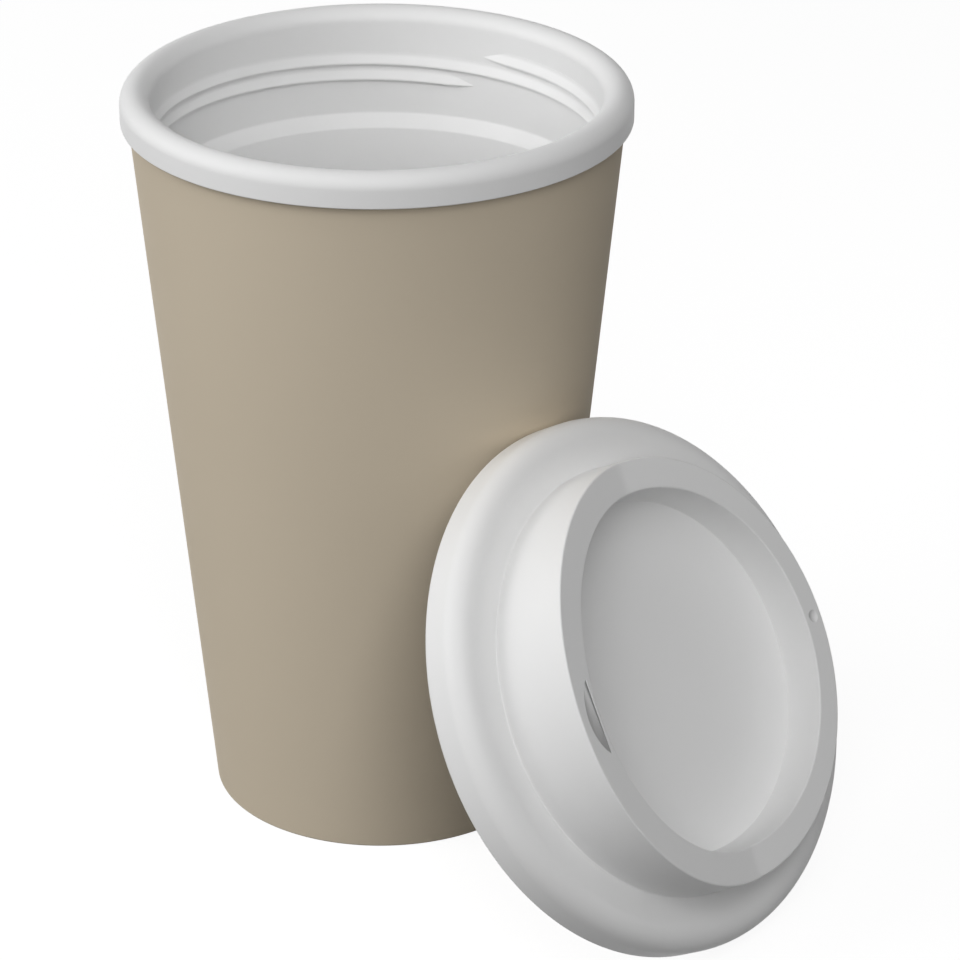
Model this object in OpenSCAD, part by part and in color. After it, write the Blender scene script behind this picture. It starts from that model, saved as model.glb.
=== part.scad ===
// Double-wall tumbler with its twist-on drinking lid taken off.
// The cup stands on its foot ring, and the lid stands on the edge of its skirt and leans on the cup.

/* [Cup] */
// Height of the cup from its foot to the top of the rolled rim
cup_h = 132.8; // [110:0.1:160]
// Outer diameter of the coloured shell at its foot
base_d = 60.6; // [54:0.1:66]
// Outer diameter of the coloured shell just under the white collar
shoulder_d = 85.2; // [78:0.1:94]
// Height of the white collar, from its lower edge to the top of the rim
collar_h = 5.7; // [5:0.1:9]
// How far the collar stands out from the shell
collar_overhang = 1.4; // [1:0.1:2.5]

/* [Outer shell] */
// Wall of the shell, measured level
shell_wall = 1.3; // [0.9:0.1:1.8]
// Thickness of the shell's bottom
base_plate_t = 1.5; // [1:0.1:3]
// Height of the foot ring under the bottom
foot_h = 2; // [1:0.1:4]
// Width of the foot ring where it stands
foot_w = 2.4; // [1.5:0.1:5]
// Rounding of the shell's lower outer edge
foot_edge_r = 0.5; // [0.2:0.1:1]
// Height of the shell's top edge that is held inside the collar
tongue_h = 2.8; // [1.5:0.1:3.2]

/* [Inner liner] */
// Wall of the liner, measured level
liner_wall = 1.2; // [0.8:0.1:1.6]
// Thinnest wall of the liner's neck, at the ledge
neck_wall = 0.9; // [0.7:0.1:1.2]
// Gap between the liner's neck and the shell around it
neck_gap = 0.3; // [0.1:0.05:0.4]
// Clearance of the shell's top edge in the collar
tongue_gap = 0.1; // [0.05:0.05:0.3]
// Depth of the top of the ledge below the rim
ledge_depth = 19.6; // [16:0.1:26]
// Height of the sloping ledge
ledge_h = 2.5; // [1.5:0.1:4]
// How far the ledge steps inwards
ledge_w = 1.5; // [0.8:0.1:2.5]
// Inner diameter of the liner at its floor
floor_d = 52; // [44:0.5:54]
// Rounding between the liner's wall and floor
floor_r = 5; // [2:0.5:8]
// Air gap between the liner's floor and the shell's bottom
floor_gap = 3; // [1.5:0.1:6]

/* [Thread] */
// Rise of the two-start thread in one turn
thread_lead = 5.85; // [5.4:0.05:7]
// How far the thread stands out of the neck
thread_depth = 0.95; // [0.7:0.05:1.2]
// Height of a thread ridge at its root
thread_w = 1.6; // [1.3:0.05:1.7]
// Depth of the thread's lower end below the rim
thread_drop = 13.4; // [12:0.1:15]
// Direction in which the first thread starts
thread_start_a = 64.5; // [0:0.5:90]
// Radial clearance between the lid's plug and the thread, and between its lugs and the neck
thread_gap = 0.3; // [0.15:0.05:0.5]
// Axial play between a lug and the thread above it
thread_play = 0.1; // [0.05:0.05:0.2]

/* [Lid] */
// Radial clearance between the lid's skirt and the collar
skirt_gap = 0.5; // [0.3:0.1:1]
// Wall of the lid's skirt
skirt_wall = 1.8; // [1.2:0.1:2.4]
// Wall of the rest of the lid
lid_wall = 1.3; // [1:0.1:1.5]
// Height of the flange's crown above the skirt's lower edge
flange_h = 8.3; // [7.8:0.1:10]
// Rounding between the skirt and the top of the flange
flange_r = 3.75; // [2:0.05:4.5]
// How far the flange falls from its crown to the foot of the raised wall
gutter_drop = 0.75; // [0.2:0.05:1]
// Rounding of the skirt's lower outer edge
skirt_edge_r = 0.8; // [0.3:0.1:0.9]
// Clearance of the raised wall inside the line of the cup's neck
wall_inset = 1.65; // [1.2:0.05:2.5]
// Inward slope of the raised wall, over its height
wall_draft = 0.15; // [0:0.05:0.6]
// Rounding at the foot of the raised wall
wall_foot_r = 0.3; // [0.2:0.1:1]
// Height of the level half of the top above the skirt's lower edge
top_h = 15.3; // [13:0.1:18]
// Slope of the drinking half of the top
lip_a = 12.7; // [8:0.1:16]
// Diameter of the hollow in the top, at the height of the level half
hollow_d = 62.6; // [56:0.1:63.5]
// How far the hollow is set away from the drinking side
hollow_shift = 1.2; // [0:0.1:1.6]
// Depth of the hollow's wall below the level half
hollow_depth = 6.4; // [4:0.1:7]
// Slope of the hollow's wall
hollow_draft = 6; // [2:0.5:12]
// Slope of the dished floor where it meets the hollow's wall
dish_a = 12.5; // [4:0.5:15]
// Length of the plug below the skirt's lower edge
plug_l = 6; // [5.8:0.1:6.5]
// Wall of the plug
plug_wall = 1.5; // [1.2:0.1:1.9]
// Angle that each of the plug's two lugs spans
lug_a = 75; // [50:1:80]
// Height of a lug at its root
lug_w = 1.2; // [0.9:0.05:1.3]

/* [Openings in the lid] */
// Length of the drinking slot
slot_l = 12.6; // [9:0.1:16]
// Width of the drinking slot at its middle
slot_w = 3; // [2.2:0.1:3.3]
// Distance of the drinking slot from the lid's raised outer wall
slot_margin = 2.2; // [1.5:0.1:2.4]
// Diameter of the vent hole
vent_d = 2; // [1:0.1:2.2]

/* [Seal] */
// Thickness of the seal under the flange
seal_t = 1; // [0.6:0.1:1.2]
// Width of the seal
seal_w = 4.6; // [4.2:0.1:5.2]
// Clearance between the seal and the plug
seal_gap = 0.1; // [0.05:0.05:0.2]

/* [Lid at rest] */
// Height of the lid's axis above level
lean_a = 30.2; // [20:0.1:45]
// Compass direction that the lid faces
face_a = -39.9; // [-60:0.1:-20]
// Compass direction from the cup to the lid
bearing_a = -47.6; // [-70:0.1:-30]
// Turn of the lid about its own axis
lid_turn = 84.2; // [0:0.1:180]
// Gap between the lid and the shell that it leans on
lean_gap = 0.2; // [0.1:0.05:0.5]

/* [Hidden] */
$fn = 144;

// Reach of a cutter, larger than any part
far = 100;
// How far a blank or a cutter passes the face that ends it
over = 1;
arc_steps = 6;
rim_steps = 20;

// Cup sizes
base_r = base_d / 2;
shoulder_r = shoulder_d / 2;
collar_r = shoulder_r + collar_overhang;
collar_z = cup_h - collar_h;
shell_slope = (shoulder_r - base_r) / collar_z;
shell_cos = 1 / sqrt(1 + shell_slope * shell_slope);
bottom_z = foot_h + base_plate_t;
ledge_top_z = cup_h - ledge_depth;
ledge_low_z = ledge_top_z - ledge_h;
mouth_r = shell_r(ledge_top_z) - shell_wall - neck_gap - neck_wall;
rim_r = (collar_r - mouth_r) / 2;
rim_mid_r = mouth_r + rim_r;
rim_z = cup_h - rim_r;
tongue_z = collar_z + tongue_h;
tongue_in_r = shoulder_r - shell_wall;
ledge_r = mouth_r - ledge_w;
liner_floor_z = bottom_z + floor_gap + liner_wall;
liner_slope = (ledge_r - floor_d / 2) / (ledge_low_z - liner_floor_z);

// Thread sizes
thread_z = cup_h - thread_drop;
crest_w = 0.35;
flank_w = 0.2;
// Angle of one piece of a ridge
thread_step = 6;
// Angle over which a ridge's tip fades out, and the part of its height that is left at the end
tip_a = 18;
tip_part = 0.04;
// How far a ridge is sunk in the wall that it stands on
root_sink = 0.3;

// Lid sizes, in the lid's own frame with the skirt's lower edge at zero
skirt_in_r = collar_r + skirt_gap;
lid_r = skirt_in_r + skirt_wall;
gutter_z = flange_h - gutter_drop;
seat_z = gutter_z - lid_wall;
wall_r = mouth_r - wall_inset;
wall_top_z = top_h + wall_r * tan(lip_a);
wall_top_r = wall_r - wall_draft;
plug_r = mouth_r - thread_depth - thread_gap;
plug_in_r = plug_r - plug_wall;
wall_in_r = wall_top_r - lid_wall;
flange_in_r = 2;
hollow_z = top_h - hollow_depth;
hollow_r = hollow_d / 2;
slot_x = slot_margin - wall_top_r;
// Radius of the drinking slot's curved side, which meets the straight side at both ends
slot_bow_r = (slot_l * slot_l / 4 + slot_w * slot_w) / (2 * slot_w);
vent_x = (hollow_r + hollow_shift + wall_top_r) / 2;
seal_in_r = plug_r + seal_gap;

// Height of the closed lid's skirt edge on the cup, with the seal on the rim
closed_z = cup_h + seal_t - seat_z;
// The lug's upper end lies this part of a turn above the thread's lower end
lug_end = 0.97;
lug_start = lug_end - lug_a / 360;
lug_z = thread_z + thread_lead * lug_start - closed_z - thread_play;

// Outer radius of the shell at a height
function shell_r(z) = base_r + shell_slope * z;

// Inner radius of the liner's tapered wall at a height
function liner_r(z) = ledge_r - liner_slope * (ledge_low_z - z);

// Points of an arc about a centre, from one angle to another
function arc(x, y, r, from_a, to_a, steps) = [for (i = [0:steps])
    let (a = from_a + (to_a - from_a) * i / steps)
    [x + r * cos(a), y + r * sin(a)]];

// The lid stands with its rounded skirt edge on the floor
edge_r = lid_r - skirt_edge_r;
lid_z = skirt_edge_r + edge_r * cos(lean_a) - skirt_edge_r * sin(lean_a);

// Upper part of the skirt's edge, as angles about the lid's axis, where it comes nearest to the cup
lean_from_a = 50;
lean_to_a = 130;
lean_rounds = 8;

// Centre line of the skirt's rounded edge, for a lid at a distance from the cup's axis
function edge_point(d, t) = [
    d * cos(bearing_a) + skirt_edge_r * cos(lean_a) * cos(face_a)
        - edge_r * (cos(t) * sin(face_a) + sin(t) * sin(lean_a) * cos(face_a)),
    d * sin(bearing_a) + skirt_edge_r * cos(lean_a) * sin(face_a)
        + edge_r * (cos(t) * cos(face_a) - sin(t) * sin(lean_a) * sin(face_a)),
    lid_z + skirt_edge_r * sin(lean_a) + edge_r * sin(t) * cos(lean_a)];

// Gap between the skirt's edge and the shell, at its narrowest
function cup_gap(d) = min([for (t = [lean_from_a:lean_to_a])
    let (p = edge_point(d, t))
    (norm([p[0], p[1]]) - shell_r(p[2])) * shell_cos - skirt_edge_r]);

// Distance of the lid from the cup's axis, closed in on until it leans at the stated gap
function lean_distance(d, n) =
    n == 0 ? d : lean_distance(d - (cup_gap(d) - lean_gap) / shell_cos, n - 1);
lid_distance = lean_distance(lid_r, lean_rounds);

// Part of the full height that a ridge has at an angle, with both tips fading out
function ridge_fade(a, span) =
    let (e = min(a, span - a) / tip_a)
    e >= 1 ? 1 : tip_part + (1 - tip_part) * sin(90 * e);

// One section of a ridge: side is 1 where it stands out of a plug, -1 where it stands into a neck,
// and up is 1 where its steep flank faces upwards, -1 where it faces down
function ridge_section(a, span, r, z, depth, w, side, up) =
    let (f = ridge_fade(a, span), level = z + thread_lead * a / 360)
    let (low = r - side * root_sink, top = r + side * depth * f)
    [for (p = [[low, 0], [top, -flank_w * f], [top, -(flank_w + crest_w) * f], [low, -w]])
        [p[0], level + up * p[1]]];

// A helical ridge on a cylinder of radius r, whose steep flank starts at height z
module ridge(r, z, depth, w, span, side, up) {
    n = ceil(span / thread_step);
    points = [for (i = [0:n])
        let (a = span * i / n)
        for (p = ridge_section(a, span, r, z, depth, w, side, up))
        [p[0] * cos(a), p[0] * sin(a), p[1]]];
    sides = [for (i = [0:n - 1], j = [0:3])
        let (k = (j + 1) % 4)
        [4 * i + 4 + j, 4 * i + 4 + k, 4 * i + k, 4 * i + j]];
    ends = [[0, 1, 2, 3], [4 * n + 3, 4 * n + 2, 4 * n + 1, 4 * n]];
    faces = concat(sides, ends);
    mirrored = side * up < 0;
    polyhedron(points, mirrored ? [for (f = faces) [f[3], f[2], f[1], f[0]]] : faces, convexity = 6);
}

// Coloured outer wall with its bottom and foot ring in one piece
module outer_shell() {
    color([0.70, 0.66, 0.58])
    rotate_extrude()
    polygon(concat(
        [[0, foot_h], [base_r - foot_w, foot_h], [base_r - foot_w, 0]],
        arc(base_r - foot_edge_r, foot_edge_r, foot_edge_r, -90, 0, arc_steps),
        [[shoulder_r, collar_z], [shoulder_r, tongue_z]],
        [[tongue_in_r, tongue_z], [tongue_in_r, collar_z]],
        [[shell_r(bottom_z) - shell_wall, bottom_z], [0, bottom_z]]));
}

// White inner vessel with its neck, thread, rolled rim and collar in one piece
module inner_liner() {
    bend_z = liner_floor_z + floor_r;
    bend_x = liner_r(bend_z) - floor_r;
    groove_r = shoulder_r + tongue_gap;
    neck_out_r = tongue_in_r - neck_gap;
    color([0.94, 0.94, 0.93]) {
        rotate_extrude()
        polygon(concat(
            [[0, liner_floor_z]],
            arc(bend_x, bend_z, floor_r, -90, 0, arc_steps),
            [[ledge_r, ledge_low_z], [mouth_r, ledge_top_z]],
            arc(rim_mid_r, rim_z, rim_r, 180, 0, rim_steps),
            [[collar_r, collar_z], [groove_r, collar_z], [groove_r, tongue_z]],
            [[neck_out_r, tongue_z], [neck_out_r, collar_z]],
            [[mouth_r + neck_wall, ledge_top_z], [ledge_r + liner_wall, ledge_low_z]],
            arc(bend_x, bend_z, floor_r + liner_wall, 0, -90, arc_steps),
            [[0, liner_floor_z - liner_wall]]));
        for (start = [0, 180])
            rotate([0, 0, thread_start_a + start])
            ridge(mouth_r, thread_z, thread_depth, thread_w, 360, -1, -1);
    }
}

// Everything under the lid's top: level on the vent side, rising on the drinking side
module under_top(drop) {
    level_z = top_h - drop;
    rotate([90, 0, 0])
    linear_extrude(2 * far, center = true)
    polygon([[-far, -far], [far, -far], [far, level_z], [0, level_z], [-far, level_z + far * tan(lip_a)]]);
}

// Hollow of the lid's top with its dished floor, grown by a wall
module hollow(wall) {
    floor_edge_r = hollow_r - hollow_depth * tan(hollow_draft);
    dish_r = floor_edge_r / sin(dish_a);
    cutter_z = wall_top_z + over;
    cutter_r = hollow_r + wall + (cutter_z - top_h) * tan(hollow_draft);
    translate([hollow_shift, 0, 0])
    rotate_extrude()
    polygon(concat(
        arc(0, hollow_z + dish_r * cos(dish_a), dish_r + wall, -90, dish_a - 90, arc_steps),
        [[floor_edge_r + wall, hollow_z - wall], [cutter_r, cutter_z], [0, cutter_z]]));
}

// Drinking slot, straight on the inside and bowed on the outside
module drinking_slot() {
    linear_extrude(far)
    intersection() {
        translate([slot_x + slot_bow_r, 0]) circle(slot_bow_r);
        translate([slot_x, -slot_l / 2]) square([slot_w, slot_l]);
    }
}

// Lid in its own frame: axis up, drinking slot on the -X side
module lid_shape() {
    difference() {
        union() {
            intersection() {
                rotate_extrude()
                polygon(concat(
                    [[0, -plug_l], [plug_r, -plug_l], [plug_r, seat_z]],
                    arc(skirt_in_r - flange_in_r, seat_z - flange_in_r, flange_in_r, 90, 0, arc_steps),
                    [[skirt_in_r, 0]],
                    arc(lid_r - skirt_edge_r, skirt_edge_r, skirt_edge_r, -90, 0, arc_steps),
                    arc(lid_r - flange_r, flange_h - flange_r, flange_r, 0, 90, 2 * arc_steps),
                    arc(wall_r + wall_foot_r, gutter_z + wall_foot_r, wall_foot_r, -90, -180, arc_steps),
                    [[wall_top_r, wall_top_z + over], [0, wall_top_z + over]]));
                under_top(0);
            }
            for (start = [0, 180])
                rotate([0, 0, start])
                ridge(plug_r, lug_z, thread_depth, lug_w, lug_a, 1, 1);
        }
        difference() {
            intersection() {
                translate([0, 0, -plug_l - over])
                cylinder(r1 = plug_in_r, r2 = wall_in_r, h = plug_l + over + wall_top_z);
                under_top(lid_wall);
            }
            hollow(lid_wall);
        }
        hollow(0);
        drinking_slot();
        translate([vent_x, 0, hollow_z]) cylinder(d = vent_d, h = far);
    }
}

// Places the lid's own frame where the lid rests
module at_rest() {
    translate([lid_distance * cos(bearing_a), lid_distance * sin(bearing_a), lid_z])
    rotate([0, 90 - lean_a, face_a])
    rotate([0, 0, lid_turn])
    children();
}

// White drinking lid in one piece
module lid() {
    color([0.94, 0.94, 0.93]) at_rest() lid_shape();
}

// Soft flat ring that seals the lid on the cup's rim
module lid_seal() {
    color([0.82, 0.82, 0.80])
    at_rest()
    translate([0, 0, seat_z - seal_t])
    rotate_extrude()
    translate([seal_in_r, 0])
    square([seal_w, seal_t]);
}

outer_shell();
inner_liner();
lid();
lid_seal();
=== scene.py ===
import math
import bmesh
import bpy
from mathutils import Matrix, Vector


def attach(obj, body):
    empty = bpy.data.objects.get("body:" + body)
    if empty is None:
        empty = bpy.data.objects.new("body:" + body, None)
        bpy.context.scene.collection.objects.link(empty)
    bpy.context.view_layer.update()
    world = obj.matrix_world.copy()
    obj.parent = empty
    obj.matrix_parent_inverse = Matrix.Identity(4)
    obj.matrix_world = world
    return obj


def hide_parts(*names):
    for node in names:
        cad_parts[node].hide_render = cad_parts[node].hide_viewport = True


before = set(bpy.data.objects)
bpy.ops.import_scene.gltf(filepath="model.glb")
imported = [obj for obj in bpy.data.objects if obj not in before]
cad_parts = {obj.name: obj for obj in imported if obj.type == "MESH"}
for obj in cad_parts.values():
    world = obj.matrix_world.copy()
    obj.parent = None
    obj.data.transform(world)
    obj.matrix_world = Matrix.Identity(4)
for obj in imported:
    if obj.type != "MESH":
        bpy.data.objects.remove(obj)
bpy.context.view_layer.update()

# Outer shell of the cup.
# A tapered beige wall with its bottom and foot ring, injection moulded in one piece of satin
# polypropylene. Its plain top edge is held in the groove under the liner's white collar.
MM = 0.001
base_r = 30.3
shoulder_r = 42.6
collar_z = 127.1
tongue_z = 129.9
shell_wall = 1.3
bottom_z = 3.5
foot_h = 2
foot_w = 2.4
foot_edge_r = 0.5
bottom_edge_r = 1
mould_edge_r = 0.25
weld = 0.001
full_turn = 2 * math.pi
crisp_a = math.radians(32)
plastic_ior = 1.49
cloud_scale = 24
cloud_change = 0.05
patch_scale = 130
patch_change = 0.12


class Flow:
    """A value on its way through a material. Sums and products of it add Math nodes."""

    def __init__(self, tree, socket=None):
        self.tree = tree
        self.socket = socket

    def node(self, kind, settings=None, sockets=None, output=0):
        """Adds a node, gives it its settings and then the values or links of its sockets."""
        made = self.tree.nodes.new(kind)
        for name, value in (settings or {}).items():
            setattr(made, name, value)
        for name, value in (sockets or {}).items():
            if isinstance(value, Flow):
                self.tree.links.new(value.socket, made.inputs[name])
            else:
                made.inputs[name].default_value = value
        return Flow(self.tree, made.outputs[output] if made.outputs else None)

    def maths(self, operation, first, second):
        return self.node("ShaderNodeMath", {"operation": operation}, {0: first, 1: second})

    def __add__(self, other):
        return self.maths("ADD", self, other)

    def __radd__(self, other):
        return self.maths("ADD", other, self)

    def __sub__(self, other):
        return self.maths("SUBTRACT", self, other)

    def __rsub__(self, other):
        return self.maths("SUBTRACT", other, self)

    def __mul__(self, other):
        return self.maths("MULTIPLY", self, other)

    def __rmul__(self, other):
        return self.maths("MULTIPLY", other, self)


def moulded(name, colour, shade, roughness, gloss, grain_scale, grain_depth):
    """Satin moulded plastic: an even colour with a faint cloudy tone, and a fine grain from the mould."""
    material = bpy.data.materials.new(name)
    material.use_nodes = True
    tree = material.node_tree
    tree.nodes.clear()
    place = Flow(tree).node("ShaderNodeTexCoord", output="Object")
    cloud, patch, grain = [
        place.node("ShaderNodeTexNoise", sockets={"Vector": place, "Scale": scale, "Detail": detail})
        for scale, detail in ((cloud_scale, 2), (patch_scale, 3), (grain_scale, 2))]
    tint = place.node("ShaderNodeMix", {"data_type": "RGBA"}, output=2, sockets={
        0: cloud, 6: (*colour, 1), 7: (*shade, 1)})
    bump = place.node("ShaderNodeBump", sockets={
        "Strength": 1, "Distance": grain_depth * MM, "Height": grain})
    rough = roughness + (patch - 0.5) * patch_change + (cloud - 0.5) * cloud_change
    surface = place.node("ShaderNodeBsdfPrincipled", sockets={
        "Base Color": tint, "Roughness": rough, "Normal": bump,
        "IOR": plastic_ior, "Specular IOR Level": gloss})
    place.node("ShaderNodeOutputMaterial", sockets={"Surface": surface})
    return material


def profile(corners, closed=False):
    """Draws half a section from corners (radius, height), in mm.

    A corner with a third and a fourth number is rounded, with that radius and that many segments.
    """
    form = bmesh.new()
    line = [form.verts.new((corner[0], 0, corner[1])) for corner in corners]
    for pair in zip(line, line[1:]):
        form.edges.new(pair)
    if closed:
        form.edges.new((line[-1], line[0]))
    for point, corner in zip(line, corners):
        if len(corner) == 4:
            first, second = [edge.other_vert(point).co - point.co for edge in point.link_edges]
            reach = corner[2] / math.tan(first.angle(second) / 2)
            bmesh.ops.bevel(form, geom=[point], offset=reach, offset_type="OFFSET", affect="VERTICES",
                            segments=corner[3], profile=0.5, material=-1)
    bmesh.ops.remove_doubles(form, verts=form.verts[:], dist=2 * weld)
    return form


def turned(form, steps=240):
    """Turns a half section about the Z axis into a closed wall."""
    bmesh.ops.spin(form, geom=form.verts[:] + form.edges[:], cent=(0, 0, 0), axis=(0, 0, 1),
                   angle=full_turn, steps=steps, use_merge=True)
    bmesh.ops.remove_doubles(form, verts=form.verts[:], dist=weld)
    bmesh.ops.recalc_face_normals(form, faces=form.faces[:])
    return form


def as_object(name, form, place=None):
    """Makes an object at the origin of a form drawn in mm, put in place by a matrix in mm."""
    if place is not None:
        bmesh.ops.transform(form, matrix=place, verts=form.verts[:])
    bmesh.ops.scale(form, vec=(MM, MM, MM), verts=form.verts[:])
    for face in form.faces:
        face.smooth = True
    for edge in form.edges:
        edge.smooth = edge.smooth and edge.calc_face_angle(0) < crisp_a
    mesh = bpy.data.meshes.new(name)
    form.to_mesh(mesh)
    form.free()
    made = bpy.data.objects.new(name, mesh)
    bpy.context.scene.collection.objects.link(made)
    return made


def finish_piece(made, material, node):
    """Evens the shading of a moulded piece between its crisp edges and hands it to the frame."""
    even = made.modifiers.new("even", "WEIGHTED_NORMAL")
    even.keep_sharp = True
    made.data.materials.append(material)
    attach(made, "root")
    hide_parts(node)


def shell_r(z):
    """Outer radius of the shell at a height."""
    return base_r + (shoulder_r - base_r) * z / collar_z


beige = moulded("satin_beige", (0.694, 0.605, 0.472), (0.678, 0.589, 0.458), 0.65, 0.12, 2600, 0.012)
shell_form = turned(profile([
    (0, foot_h),
    (base_r - foot_w, foot_h, mould_edge_r, 3),
    (base_r - foot_w, 0, mould_edge_r, 3),
    (base_r, 0, foot_edge_r, 6),
    (shoulder_r, collar_z),
    (shoulder_r, tongue_z),
    (shoulder_r - shell_wall, tongue_z),
    (shoulder_r - shell_wall, collar_z),
    (shell_r(bottom_z) - shell_wall, bottom_z, bottom_edge_r, 4),
    (0, bottom_z),
]))
shell = as_object("cup_shell", shell_form)
finish_piece(shell, beige, "outer_shell")

# Inner liner of the cup.
# The white vessel that holds the drink, moulded in one piece with its threaded neck, rolled rim
# and collar. It is pressed down over the shell's top edge, and only its rim, collar and inside show.
cup_h = 132.8
collar_r = 44
neck_wall = 0.9
neck_gap = 0.3
tongue_gap = 0.1
liner_wall = 1.2
ledge_top_z = 113.2
ledge_low_z = 110.7
ledge_w = 1.5
ledge_edge_r = 0.8
liner_floor_z = 7.7
liner_floor_r = 26
floor_edge_r = 5
mouth_r = shell_r(ledge_top_z) - shell_wall - neck_gap - neck_wall
ledge_r = mouth_r - ledge_w
rim_r = (collar_r - mouth_r) / 2
groove_r = shoulder_r + tongue_gap
neck_out_r = shoulder_r - shell_wall - neck_gap
thread_lead = 5.85
thread_z = 118.9
thread_start_a = 62
thread_depth = 0.7
thread_w = 2.7
thread_step = 3
crest_w = 0.35
flank_w = 0.2
root_sink = 0.3
proud = 0.01
ridge_edge_r = 0.12
ridge_crest_r = 0.5
ridge_foot_r = 1.5
ridge_foot_run = 0.4
tip_a = 10
tip_part = 0.08
tip_draw = 0.7


def ridge(r, z, w, start_a, span, side, up):
    """A helical ridge on a wall of radius r.

    side is 1 where it stands out of a plug and -1 where it stands into a neck, and up is 1 where
    its steep flank is on top and -1 where it is below.
    """
    root = r - side * root_sink
    crest = r + side * thread_depth
    foot_w = flank_w + crest_w + (w - flank_w - crest_w) * thread_depth / (thread_depth + root_sink)
    low_z = z - up * (foot_w + ridge_foot_run)
    form = profile([
        (root, z),
        (crest, z - up * flank_w, ridge_edge_r, 3),
        (crest, z - up * (flank_w + crest_w), ridge_crest_r, 4),
        (r + side * proud, z - up * foot_w, ridge_foot_r, 5),
        (r + side * proud, low_z),
        (root, low_z),
    ], closed=True)
    steps = math.ceil(span / thread_step)
    step = span / steps
    rise = thread_lead * step / 360
    start = Matrix.Rotation(math.radians(start_a), 3, "Z")
    bmesh.ops.contextual_create(form, geom=form.edges[:])
    bmesh.ops.rotate(form, verts=form.verts[:], matrix=start)
    ring = form.verts[:] + form.edges[:] + form.faces[:]
    rings = [form.verts[:]]
    for _ in range(steps):
        swept = bmesh.ops.spin(form, geom=ring, cent=(0, 0, 0), axis=(0, 0, 1), dvec=(0, 0, rise),
                               angle=math.radians(step), steps=1, use_duplicate=False)
        ring = swept["geom_last"]
        rings.append([part for part in ring if isinstance(part, bmesh.types.BMVert)])
    for i, corners in enumerate(rings):
        near_end = min(1, min(i, steps - i) * step / tip_a)
        height = tip_part + (1 - tip_part) * math.sin(near_end * math.pi / 2)
        level = z + rise * i
        for corner in corners:
            out = math.hypot(corner.co.x, corner.co.y)
            wanted = root + (out - root) * height
            corner.co.x *= wanted / out
            corner.co.y *= wanted / out
            corner.co.z = level + (corner.co.z - level) * height - up * tip_draw * (1 - height)
    bmesh.ops.recalc_face_normals(form, faces=form.faces[:])
    return form


def add_form(form, other):
    """Joins another form into a form."""
    mesh = bpy.data.meshes.new("part")
    other.to_mesh(mesh)
    other.free()
    form.from_mesh(mesh)
    bpy.data.meshes.remove(mesh)


white = moulded("satin_white", (0.92, 0.92, 0.917), (0.905, 0.906, 0.905), 0.45, 0.22, 2200, 0.008)
liner_form = turned(profile([
    (0, liner_floor_z),
    (liner_floor_r, liner_floor_z, floor_edge_r, 8),
    (ledge_r, ledge_low_z, ledge_edge_r, 4),
    (mouth_r, ledge_top_z, ledge_edge_r, 4),
    (mouth_r, cup_h, rim_r, 14),
    (collar_r, cup_h, rim_r, 14),
    (collar_r, collar_z, mould_edge_r, 3),
    (groove_r, collar_z),
    (groove_r, tongue_z),
    (neck_out_r, tongue_z),
    (neck_out_r, collar_z),
    (mouth_r + neck_wall, ledge_top_z),
    (ledge_r + liner_wall, ledge_low_z),
    (liner_floor_r + liner_wall, liner_floor_z - liner_wall, floor_edge_r + liner_wall, 8),
    (0, liner_floor_z - liner_wall),
]))
for start in (0, 180):
    add_form(liner_form, ridge(mouth_r, thread_z, thread_w, thread_start_a + start, 360, -1, -1))
liner = as_object("cup_liner", liner_form)
finish_piece(liner, white, "inner_liner")

# Drinking lid, off the cup.
# White polypropylene, moulded in one piece: a skirt that goes over the collar, a plug with two
# lugs that twist into the neck, and a raised ring round a dished hollow, cut to a slope on the
# drinking side.
lid_distance = 61.4515
bearing_a = math.radians(-47.6)
lid_z = 39.7221
face_a = math.radians(-39.9)
lean_a = math.radians(30.2)
lid_turn = math.radians(84.2)
lid_place = (
    Matrix.Translation((lid_distance * math.cos(bearing_a), lid_distance * math.sin(bearing_a), lid_z))
    @ Matrix.Rotation(face_a, 4, "Z")
    @ Matrix.Rotation(math.pi / 2 - lean_a, 4, "Y")
    @ Matrix.Rotation(lid_turn, 4, "Z")
)
lid_r = 46.3
skirt_in_r = 44.5
skirt_edge_r = 0.8
flange_h = 8.3
flange_r = 3.75
crown_rise = 0.6
gutter_z = 7.55
seat_z = 6.25
seat_edge_r = 2
wall_r = mouth_r - 1.65
wall_top_r = wall_r - 0.15
wall_foot_r = 0.3
lid_wall = 1.3
top_h = 15.3
top_edge_r = 0.35
lip_slope = math.tan(math.radians(12.7))
wall_top_z = top_h + wall_r * lip_slope
hollow_r = 31.3
hollow_shift = 1.2
hollow_z = 8.3
hollow_slope = math.tan(math.radians(6))
hollow_edge_r = 0.4
under_edge_r = 1
hollow_floor_r = hollow_r - (top_h - hollow_z) * hollow_slope
dish_mid_r = 24
dish_mid_a = math.radians(8)
dish_edge_a = math.radians(27)
plug_r = mouth_r - thread_depth - 0.25
plug_in_r = plug_r - 1.5
plug_l = 6
lug_z = -4.294
lug_w = 1.2
lug_a = 75
ring_mid_r = 34.5
slot_l = 12.6
slot_w = 3
slot_x = 2.2 - wall_top_r
slot_bow_r = (slot_l * slot_l / 4 + slot_w * slot_w) / (2 * slot_w)
vent_x = (hollow_r + hollow_shift + wall_top_r) / 2
vent_r = 1
cutter_steps = ((-0.3, 0), (-0.12, 0.04), (-0.03, 0.11), (0.02, 0.18), (0.5, 0.18))


def wall_in_r(z):
    """Inner radius of the plug and the raised wall at a height."""
    return plug_in_r + (wall_top_r - lid_wall - plug_in_r) * (z + plug_l) / (wall_top_z + plug_l)


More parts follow.
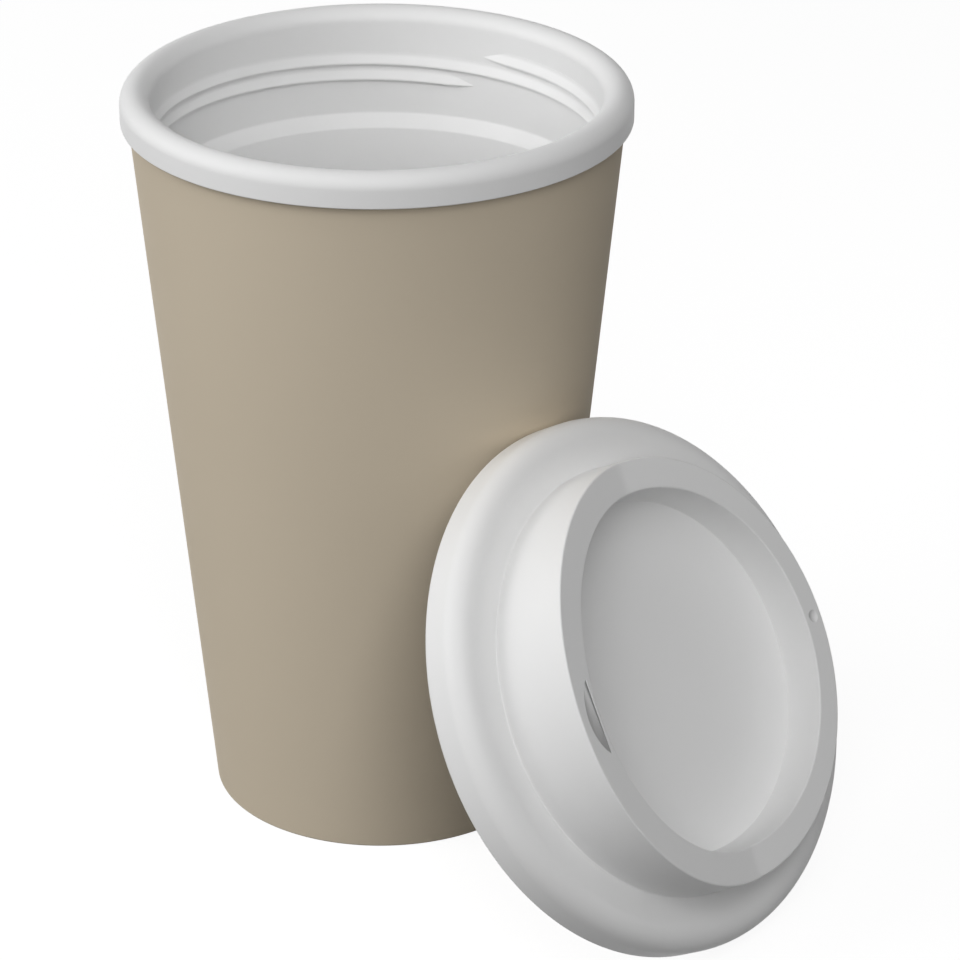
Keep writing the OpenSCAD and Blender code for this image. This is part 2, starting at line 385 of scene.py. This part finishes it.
def dish(wall):
    """Section of the dished floor, almost flat in the middle and curved up at its edge.

    wall lowers it, for the underside.
    """
    flat_r = dish_mid_r / math.sin(dish_mid_a)
    bend_r = (hollow_floor_r - dish_mid_r) / (math.sin(dish_edge_a) - math.sin(dish_mid_a))
    bend_z = hollow_z + bend_r * math.cos(dish_edge_a)
    flat_z = bend_z + (flat_r - bend_r) * math.cos(dish_mid_a)
    reach = (bend_r + wall) * math.tan((dish_edge_a - dish_mid_a) / 2)
    low_z = flat_z - flat_r - wall
    join_r = (flat_r + wall) * math.sin(dish_mid_a)
    join_z = flat_z - (flat_r + wall) * math.cos(dish_mid_a)
    return [
        (0, low_z),
        ((flat_r + wall) * math.tan(dish_mid_a / 2), low_z, flat_r + wall, 12),
        (join_r + reach * math.cos(dish_mid_a), join_z + reach * math.sin(dish_mid_a), bend_r + wall, 8),
    ]


def slope_top(form):
    """Sets the hollow off centre and raises the drinking half of the ring, at x below zero."""
    for point in form.verts:
        r = math.hypot(point.co.x, point.co.y)
        at_top = point.co.z > top_h - lid_wall - 0.05
        if r < ring_mid_r:
            a = math.atan2(point.co.y, point.co.x)
            a += math.asin(hollow_shift / hollow_r * math.sin(a))
            if at_top and hollow_shift + r * math.cos(a) < 0:
                climb = lip_slope * hollow_slope
                r = (r - hollow_shift * climb) / (1 + climb * math.cos(a))
            point.co.x = hollow_shift + r * math.cos(a)
            point.co.y = r * math.sin(a)
        if at_top:
            point.co.z += max(0, -point.co.x) * lip_slope


def raise_cutter(form, middle_x, width, length):
    """Raises a flat outline into a cutter through the lid's top, with a small flare for a soft edge."""
    form.normal_update()
    top = form.faces[:]
    level = 0
    size = (width, length)
    for height, flare in cutter_steps:
        swept = bmesh.ops.extrude_face_region(form, geom=top)
        corners = [part for part in swept["geom"] if isinstance(part, bmesh.types.BMVert)]
        top = [part for part in swept["geom"] if isinstance(part, bmesh.types.BMFace)]
        wider = (width + 2 * flare, length + 2 * flare)
        bmesh.ops.translate(form, vec=(0, 0, top_h + height - level), verts=corners)
        bmesh.ops.scale(form, vec=(wider[0] / size[0], wider[1] / size[1], 1),
                        space=Matrix.Translation((-middle_x, 0, 0)), verts=corners)
        level = top_h + height
        size = wider
    for point in form.verts:
        point.co.z += max(0, -point.co.x) * lip_slope
    bmesh.ops.recalc_face_normals(form, faces=form.faces[:])


def cut(form, cutter):
    """Cuts an opening in a form and returns the form that is left."""
    whole, tool = [bpy.data.objects.new("work", bpy.data.meshes.new("work")) for _ in range(2)]
    form.to_mesh(whole.data)
    cutter.to_mesh(tool.data)
    form.free()
    cutter.free()
    for work in (whole, tool):
        bpy.context.scene.collection.objects.link(work)
    opening = whole.modifiers.new("opening", "BOOLEAN")
    opening.operation = "DIFFERENCE"
    opening.solver = "EXACT"
    opening.object = tool
    left = bmesh.new()
    left.from_object(whole, bpy.context.evaluated_depsgraph_get())
    bpy.data.objects.remove(whole)
    bpy.data.objects.remove(tool)
    return left


lid_form = turned(profile([
    *dish(0),
    (hollow_floor_r, hollow_z, hollow_edge_r, 5),
    (hollow_r, top_h, top_edge_r, 4),
    (wall_top_r, top_h, top_edge_r, 4),
    (wall_r, gutter_z, wall_foot_r, 4),
    (lid_r, flange_h + crown_rise, flange_r, 16),
    (lid_r, 0, skirt_edge_r, 6),
    (skirt_in_r, 0, mould_edge_r, 3),
    (skirt_in_r, seat_z, seat_edge_r, 6),
    (plug_r, seat_z),
    (plug_r, -plug_l, mould_edge_r, 3),
    (plug_in_r, -plug_l, mould_edge_r, 3),
    (wall_in_r(top_h - lid_wall), top_h - lid_wall),
    (hollow_r + lid_wall, top_h - lid_wall),
    (hollow_floor_r + lid_wall, hollow_z - lid_wall, under_edge_r, 4),
    *reversed(dish(lid_wall)),
]))
slope_top(lid_form)
slot_cutter = bmesh.new()
bmesh.ops.create_circle(slot_cutter, cap_ends=True, segments=180, radius=slot_bow_r)
disc = slot_cutter.verts[:] + slot_cutter.edges[:] + slot_cutter.faces[:]
bmesh.ops.bisect_plane(slot_cutter, geom=disc, plane_co=(slot_w - slot_bow_r, 0, 0),
                       plane_no=(1, 0, 0), clear_outer=True)
bmesh.ops.translate(slot_cutter, vec=(slot_x + slot_bow_r, 0, 0), verts=slot_cutter.verts[:])
raise_cutter(slot_cutter, slot_x + slot_w / 2, slot_w, slot_l)
lid_form = cut(lid_form, slot_cutter)
vent_cutter = bmesh.new()
bmesh.ops.create_circle(vent_cutter, cap_ends=True, segments=48, radius=vent_r)
bmesh.ops.translate(vent_cutter, vec=(vent_x, 0, 0), verts=vent_cutter.verts[:])
raise_cutter(vent_cutter, vent_x, 2 * vent_r, 2 * vent_r)
lid_form = cut(lid_form, vent_cutter)
for edge in lid_form.edges:
    if all(abs(end.co.x) < 0.001 and end.co.z > top_h - top_edge_r for end in edge.verts):
        edge.smooth = False
for start in (0, 180):
    add_form(lid_form, ridge(plug_r, lug_z, lug_w, start, lug_a, 1, 1))
lid = as_object("drinking_lid", lid_form, lid_place)
finish_piece(lid, white, "lid")

# Seal of the lid.
# A flat ring of soft milky silicone, pressed into the seat under the flange round the plug.
# It is seen only from below.
seal_in_r = plug_r + 0.1
seal_w = 4.5
seal_t = 1
seal_edge_r = 0.2
silicone = moulded("milky_silicone", (0.67, 0.67, 0.65), (0.65, 0.65, 0.63), 0.62, 0.25, 1500, 0.006)
seal_form = turned(profile([
    (seal_in_r, seat_z - seal_t, seal_edge_r, 3),
    (seal_in_r + seal_w, seat_z - seal_t, seal_edge_r, 3),
    (seal_in_r + seal_w, seat_z, seal_edge_r, 3),
    (seal_in_r, seat_z, seal_edge_r, 3),
], closed=True), 192)
seal = as_object("sealing_ring", seal_form, lid_place)
finish_piece(seal, silicone, "lid_seal")

# Studio: a plain floor and soft square lamps, the most light from the front and the left, with a
# weak even surround. To the camera, and in gloss and glass, the floor and the surround are white,
# apart from the soft shadow that the cup and the lid leave on the floor.
floor_half = 6000
floor_tone = 0.2
floor_glow = 0.9
surround_light = 0.05
floor_form = bmesh.new()
bmesh.ops.create_grid(floor_form, x_segments=1, y_segments=1, size=floor_half)
floor = as_object("floor", floor_form)
floor_paint = bpy.data.materials.new("floor_paint")
floor_paint.use_nodes = True
floor_paint.node_tree.nodes.clear()


def seen_ray(flow):
    """1 for a ray from the camera, or from a glossy or clear surface, and 0 for any other."""
    camera, glossy, clear = [flow.node("ShaderNodeLightPath", output="Is %s Ray" % kind)
                             for kind in ("Camera", "Glossy", "Transmission")]
    return flow.maths("MAXIMUM", flow.maths("MAXIMUM", camera, glossy), clear)


ground = Flow(floor_paint.node_tree)
matt = ground.node("ShaderNodeBsdfDiffuse", sockets={"Color": (floor_tone, floor_tone, floor_tone, 1)})
glow = ground.node("ShaderNodeEmission", sockets={"Color": (1, 1, 1, 1), "Strength": floor_glow})
bright = ground.node("ShaderNodeAddShader", sockets={0: matt, 1: glow})
paint = ground.node("ShaderNodeMixShader", sockets={0: seen_ray(ground), 1: matt, 2: bright})
ground.node("ShaderNodeOutputMaterial", sockets={"Surface": paint})
floor.data.materials.append(floor_paint)

world = bpy.data.worlds.new("surround")
world.use_nodes = True
world.node_tree.nodes.clear()
sky = Flow(world.node_tree)
strength = surround_light + seen_ray(sky) * (1 - surround_light)
air = sky.node("ShaderNodeBackground", sockets={"Color": (1, 1, 1, 1), "Strength": strength})
sky.node("ShaderNodeOutputWorld", sockets={"Surface": air})
bpy.context.scene.world = world

lamp_aim = Vector((0.02, -0.02, 0.07))
lamp_distance = 1.3
lamp_size = 0.8


def soft_lamp(name, direction, power):
    """A square lamp that shines at the cup and the lid from a direction."""
    lamp = bpy.data.lights.new(name, "AREA")
    lamp.size = lamp_size
    lamp.energy = power
    made = bpy.data.objects.new(name, lamp)
    made.location = lamp_aim + Vector(direction) * lamp_distance
    made.rotation_mode = "QUATERNION"
    made.rotation_quaternion = Vector(direction).to_track_quat("Z", "Y")
    bpy.context.scene.collection.objects.link(made)


soft_lamp("front", (0, -0.819, 0.574), 6.1)
soft_lamp("front_high", (0, -0.5, 0.866), 2.8)
soft_lamp("left", (-0.853, -0.229, 0.469), 6.8)
soft_lamp("left_back", (-0.883, 0.321, 0.342), 2.6)
soft_lamp("right", (0.863, -0.075, 0.5), 0.9)

# Camera, as it stood for the photograph: a long lens, level with no lean, 25 degrees above the cup.
# Its place and lens come from a fit to the circles of the cup and the lid.
pitch = math.radians(25.458)
yaw = math.radians(1.522)
roll = math.radians(-0.144)
eye = bpy.data.cameras.new("eye")
eye.sensor_width = 36
eye.lens = 155.46
eye.clip_start = 0.05
eye.clip_end = 20
viewer = bpy.data.objects.new("viewer", eye)
viewer.rotation_mode = "QUATERNION"
viewer.location = (0, -0.6683, 0.3759)
viewer.rotation_quaternion = (
    Matrix.Rotation(-yaw, 4, "Z")
    @ Matrix.Rotation(math.pi / 2 - pitch, 4, "X")
    @ Matrix.Rotation(-roll, 4, "Z")
).to_quaternion()
bpy.context.scene.collection.objects.link(viewer)
bpy.context.scene.camera = viewer
bpy.context.scene.view_settings.view_transform = "Standard"
